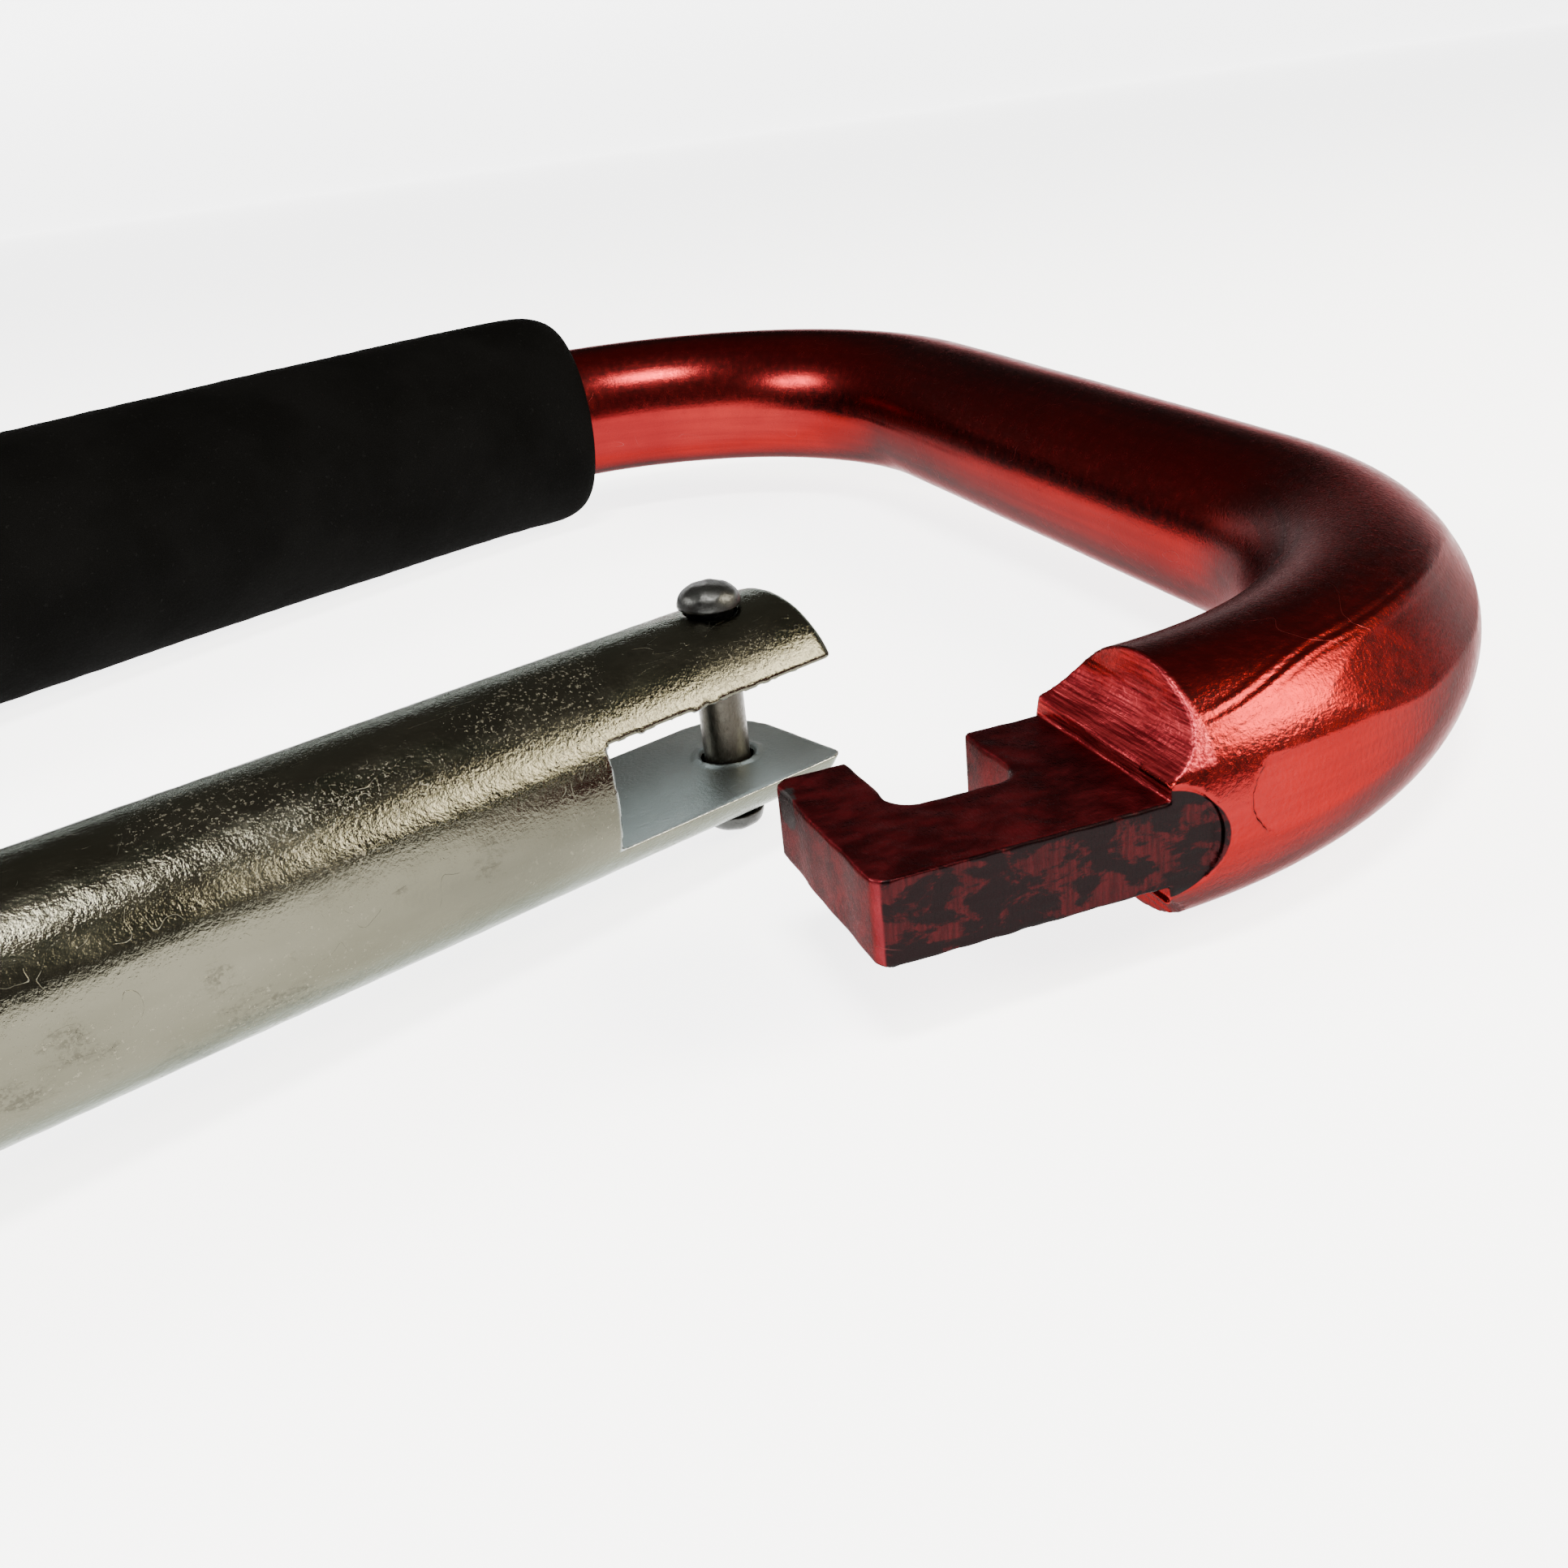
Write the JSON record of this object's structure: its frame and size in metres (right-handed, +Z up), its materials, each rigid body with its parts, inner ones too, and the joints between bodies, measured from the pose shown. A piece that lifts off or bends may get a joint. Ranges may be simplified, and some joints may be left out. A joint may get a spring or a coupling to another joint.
{
  "type": "carabiner",
  "caption": "Jumbo D-shaped carabiner: a bent red aluminium rod with a black foam grip, a notched flat nose, and a sprung solid steel gate bar that hooks a rivet into the notch.",
  "frame": {"origin": "on the surface that the carabiner lies on, under the middle of its bounding box", "axes": "+X along the closed gate from the hinge to the notched nose, +Y across the opening to the foam grip, +Z up"},
  "size_m": [0.1672, 0.114, 0.0196],
  "materials": {
    "red_anodised": "glossy red anodised, satin where milled",
    "black_foam": "matte closed-cell foam",
    "plated_steel": "bright zinc plate, pitted and scratched",
    "rivet_steel": "dull grey steel",
    "spring_steel": "bright drawn wire"
  },
  "bodies": {
    "frame": {"body_frame": "red_anodised", "foam_grip": "black_foam"},
    "gate": {"gate_bar": "plated_steel", "latch_rivet": "rivet_steel", "hinge_rivet": "rivet_steel", "gate_spring": "spring_steel"},
    "plunger": {"spring_plunger": "rivet_steel"}
  },
  "joints": [
    {"name": "gate_hinge", "type": "hinge", "parent": "frame", "child": "gate", "pos_m": [-0.04564, -0.04843, 0.00742], "axis": [0.0134, -0.0377, 0.9992], "range_deg": [-12.6, 25.4], "stiffness_Nm_per_rad": 0.26, "springref_deg": -40.11, "deforming": ["gate_spring"]},
    {"name": "plunger_slide", "type": "slide", "parent": "gate", "child": "plunger", "axis": [0.9758, 0.2185, -0.0049], "range_m": [-0.0005, 0.0009]}
  ],
  "couplings": [
    {"joint": "plunger_slide", "follows": "gate_hinge", "m_per_rad": 0.002}
  ]
}
